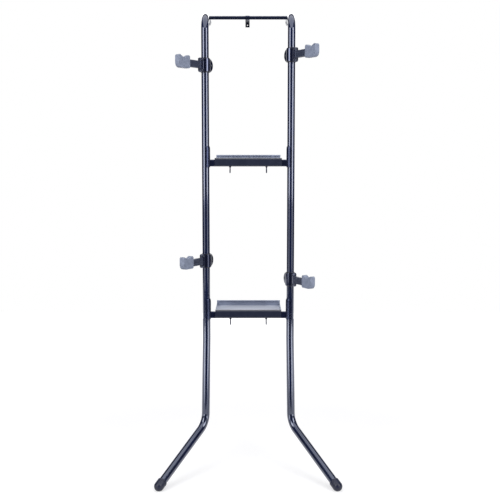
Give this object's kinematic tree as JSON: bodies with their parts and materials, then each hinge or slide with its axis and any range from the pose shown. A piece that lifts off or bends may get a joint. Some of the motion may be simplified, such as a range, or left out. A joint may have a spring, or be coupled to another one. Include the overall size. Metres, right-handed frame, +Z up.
{
  "type": "vertical bike rack",
  "caption": "Tubular bicycle rack that leans on a wall, with clamp-on cradle arms that slide and swing, shelf trays with hooks, splayed legs and a wall bracket.",
  "frame": {"origin": "centre of the footprint's bounding box, on the floor", "axes": "+Z up; +Y towards the wall that the top pads rest on; +X to the right of someone who faces that wall"},
  "size_m": [0.843, 0.5514, 2.1515],
  "materials": {
    "tube_coat": "glossy dark navy powder coat over steel tube",
    "sheet_coat": "semi-gloss dark navy powder coat over steel rail",
    "tray_coat": "satin blue-grey metallic powder coat over folded sheet steel",
    "black_steel": "black coated steel",
    "black_moulding": "black moulded nylon",
    "clamp_casting": "satin dark navy coated casting",
    "arm_moulding": "satin grey-navy moulding",
    "cradle_rubber": "soft blue-grey rubber",
    "bush_nylon": "black nylon",
    "foot_rubber": "black rubber",
    "pale_rubber": "pale grey non-marking rubber",
    "zinc_steel": "bright zinc plating"
  },
  "bodies": {
    "frame": {"left_upright": "tube_coat", "right_upright": "tube_coat", "left_leg": "tube_coat", "right_leg": "tube_coat", "left_foot_cap": "foot_rubber", "right_foot_cap": "foot_rubber", "left_wall_cap": "pale_rubber", "right_wall_cap": "pale_rubber", "top_bar": "black_steel", "wall_bracket": "black_steel", "upper_rail": "sheet_coat", "lower_rail": "sheet_coat", "upper_tray": "tray_coat", "lower_tray": "tray_coat", "wall_bracket_screw": "zinc_steel", "wall_bracket_nut": "zinc_steel", "upper_left_connector": "black_moulding", "upper_left_hook": "black_steel", "upper_left_connector_screw": "zinc_steel", "upper_right_connector": "black_moulding", "upper_right_hook": "black_steel", "upper_right_connector_screw": "zinc_steel", "lower_left_connector": "black_moulding", "lower_left_hook": "black_steel", "lower_left_connector_screw": "zinc_steel", "lower_right_connector": "black_moulding", "lower_right_hook": "black_steel", "lower_right_connector_screw": "zinc_steel"},
    "upper_left_slider": {"upper_left_bush": "bush_nylon"},
    "upper_left_arm": {"upper_left_clamp_front": "clamp_casting", "upper_left_clamp_back": "clamp_casting", "upper_left_arm": "arm_moulding", "upper_left_cradle": "cradle_rubber", "upper_left_top_screw": "zinc_steel", "upper_left_bottom_screw": "zinc_steel", "upper_left_rear_screw": "zinc_steel"},
    "upper_right_slider": {"upper_right_bush": "bush_nylon"},
    "upper_right_arm": {"upper_right_clamp_front": "clamp_casting", "upper_right_clamp_back": "clamp_casting", "upper_right_arm": "arm_moulding", "upper_right_cradle": "cradle_rubber", "upper_right_top_screw": "zinc_steel", "upper_right_bottom_screw": "zinc_steel", "upper_right_rear_screw": "zinc_steel"},
    "lower_left_slider": {"lower_left_bush": "bush_nylon"},
    "lower_left_arm": {"lower_left_clamp_front": "clamp_casting", "lower_left_clamp_back": "clamp_casting", "lower_left_arm": "arm_moulding", "lower_left_cradle": "cradle_rubber", "lower_left_top_screw": "zinc_steel", "lower_left_bottom_screw": "zinc_steel", "lower_left_rear_screw": "zinc_steel"},
    "lower_right_slider": {"lower_right_bush": "bush_nylon"},
    "lower_right_arm": {"lower_right_clamp_front": "clamp_casting", "lower_right_clamp_back": "clamp_casting", "lower_right_arm": "arm_moulding", "lower_right_cradle": "cradle_rubber", "lower_right_top_screw": "zinc_steel", "lower_right_bottom_screw": "zinc_steel", "lower_right_rear_screw": "zinc_steel"}
  },
  "joints": [
    {"name": "upper_left_height", "type": "slide", "parent": "frame", "child": "upper_left_slider", "axis": [0, 0, 1], "range_m": [-0.3, 0.1]},
    {"name": "upper_left_swing", "type": "hinge", "parent": "upper_left_slider", "child": "upper_left_arm", "pos_m": [-0.199, 0.06675, 1.904], "axis": [0, 0, 1], "range_deg": [-52, 68]},
    {"name": "upper_right_height", "type": "slide", "parent": "frame", "child": "upper_right_slider", "axis": [0, 0, 1], "range_m": [-0.34, 0.06]},
    {"name": "upper_right_swing", "type": "hinge", "parent": "upper_right_slider", "child": "upper_right_arm", "pos_m": [0.199, 0.06675, 1.95], "axis": [0, 0, 1], "range_deg": [-64, 56]},
    {"name": "lower_left_height", "type": "slide", "parent": "frame", "child": "lower_left_slider", "axis": [0, 0, 1], "range_m": [-0.12, 0.36]},
    {"name": "lower_left_swing", "type": "hinge", "parent": "lower_left_slider", "child": "lower_left_arm", "pos_m": [-0.199, 0.06675, 0.998], "axis": [0, 0, 1], "range_deg": [-57, 63]},
    {"name": "lower_right_height", "type": "slide", "parent": "frame", "child": "lower_right_slider", "axis": [0, 0, 1], "range_m": [-0.04, 0.45]},
    {"name": "lower_right_swing", "type": "hinge", "parent": "lower_right_slider", "child": "lower_right_arm", "pos_m": [0.199, 0.06675, 0.91], "axis": [0, 0, 1], "range_deg": [-60, 60]}
  ]
}
